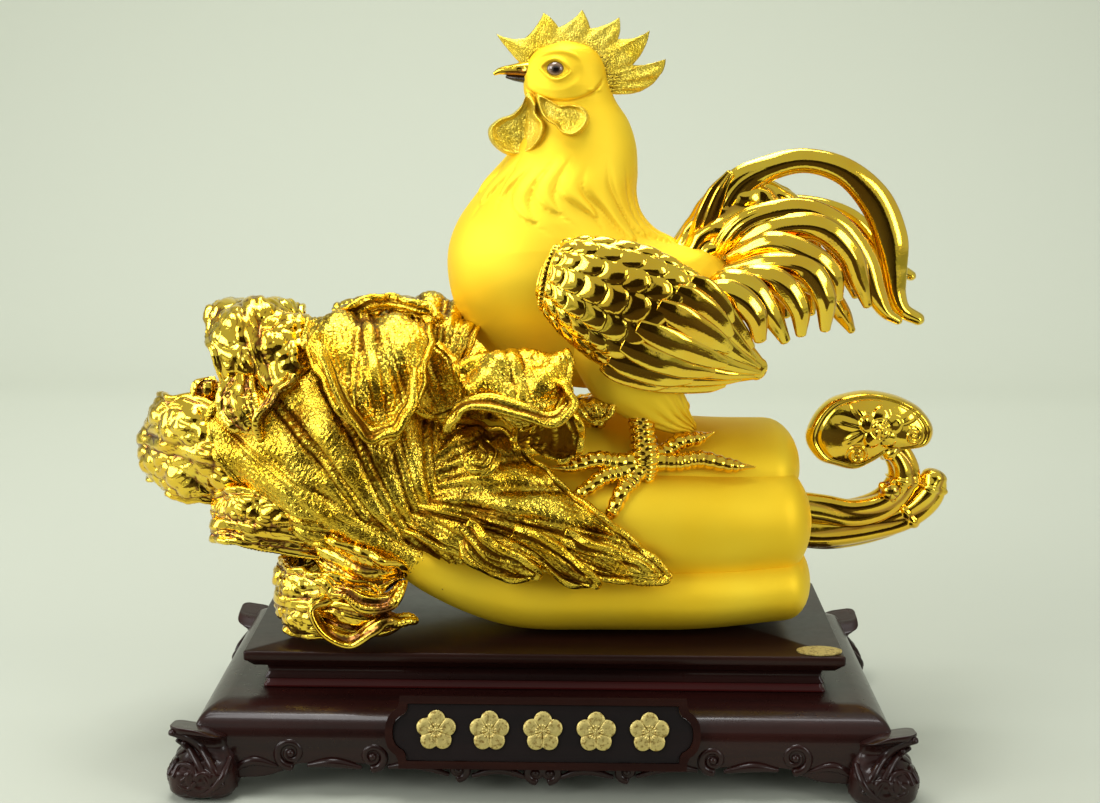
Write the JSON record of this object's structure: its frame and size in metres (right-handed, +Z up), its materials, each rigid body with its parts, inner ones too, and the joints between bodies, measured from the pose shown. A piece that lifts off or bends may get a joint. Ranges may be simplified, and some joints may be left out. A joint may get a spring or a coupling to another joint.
{
  "type": "chicken statue",
  "caption": "Gilded rooster standing on a lying cabbage with a cloud-headed sceptre, on a dark lacquered stand with scroll feet.",
  "frame": {"origin": "middle of the footprint, on the surface that the stand rests on", "axes": "+X to the viewer's right along the stand's length, from the cabbage's leaves to the sceptre; +Y away from the viewer; +Z up"},
  "size_m": [0.4265, 0.204, 0.382],
  "materials": {
    "lacquer": "gloss lacquer",
    "red_lacquer": "gloss lacquer",
    "panel": "satin lacquer",
    "satin_gold": "satin gilding",
    "polished_gold": "polished gilding",
    "leaf_gold": "pebbled polished gilding",
    "frosted_gold": "frosted gilding",
    "gilt_paint": "satin paint",
    "dark_horn": "gloss enamel",
    "glass": "polished",
    "felt": "felt",
    "steel": "zinc plated"
  },
  "bodies": {
    "root": {"oval_label": "gilt_paint", "leg_left": "polished_gold", "leg_right": "polished_gold", "comb": "frosted_gold", "beak_upper": "polished_gold", "beak_lower": "dark_horn", "eye_left": "glass", "eye_right": "glass", "tail_base": "polished_gold", "sickle_outer": "polished_gold", "sickle_inner": "polished_gold", "sickle_far": "polished_gold", "rooster_body": "satin_gold", "wattle_right": "frosted_gold", "wattle_left": "frosted_gold", "wing_left": "polished_gold", "wing_right": "polished_gold", "tail_feathers_left": "polished_gold", "tail_feathers_right": "polished_gold", "ruyi_stem": "polished_gold", "ruyi_head": "polished_gold", "stalk_front": "satin_gold", "stalk_middle": "satin_gold", "stalk_upper": "satin_gold", "stalk_back": "satin_gold", "stalk_back_low": "satin_gold", "cabbage_heart": "leaf_gold", "leaf_front": "leaf_gold", "leaf_tongue": "leaf_gold", "leaf_curl_right": "leaf_gold", "leaf_curl_center": "leaf_gold", "leaf_crown_top": "leaf_gold", "leaf_curl_upper_left": "leaf_gold", "leaf_curl_far_left": "leaf_gold", "leaf_curl_lower_left": "leaf_gold", "leaf_curl_bottom_left": "leaf_gold", "leaf_curl_small": "leaf_gold", "leaf_back": "leaf_gold", "leaf_curl_back": "leaf_gold", "foot_front_left": "lacquer", "felt_pad_front_left": "felt", "foot_front_right": "lacquer", "felt_pad_front_right": "felt", "foot_back_left": "lacquer", "felt_pad_back_left": "felt", "foot_back_right": "lacquer", "felt_pad_back_right": "felt", "fixing_screw_1": "steel", "fixing_screw_2": "steel", "stand_body": "lacquer", "step_moulding": "red_lacquer", "waist_band": "lacquer", "top_slab": "lacquer", "plaque_frame": "lacquer", "plaque_panel": "panel", "plaque_ornament_1": "gilt_paint", "plaque_ornament_2": "gilt_paint", "plaque_ornament_3": "gilt_paint", "plaque_ornament_4": "gilt_paint", "plaque_ornament_5": "gilt_paint"}
  },
  "joints": []
}
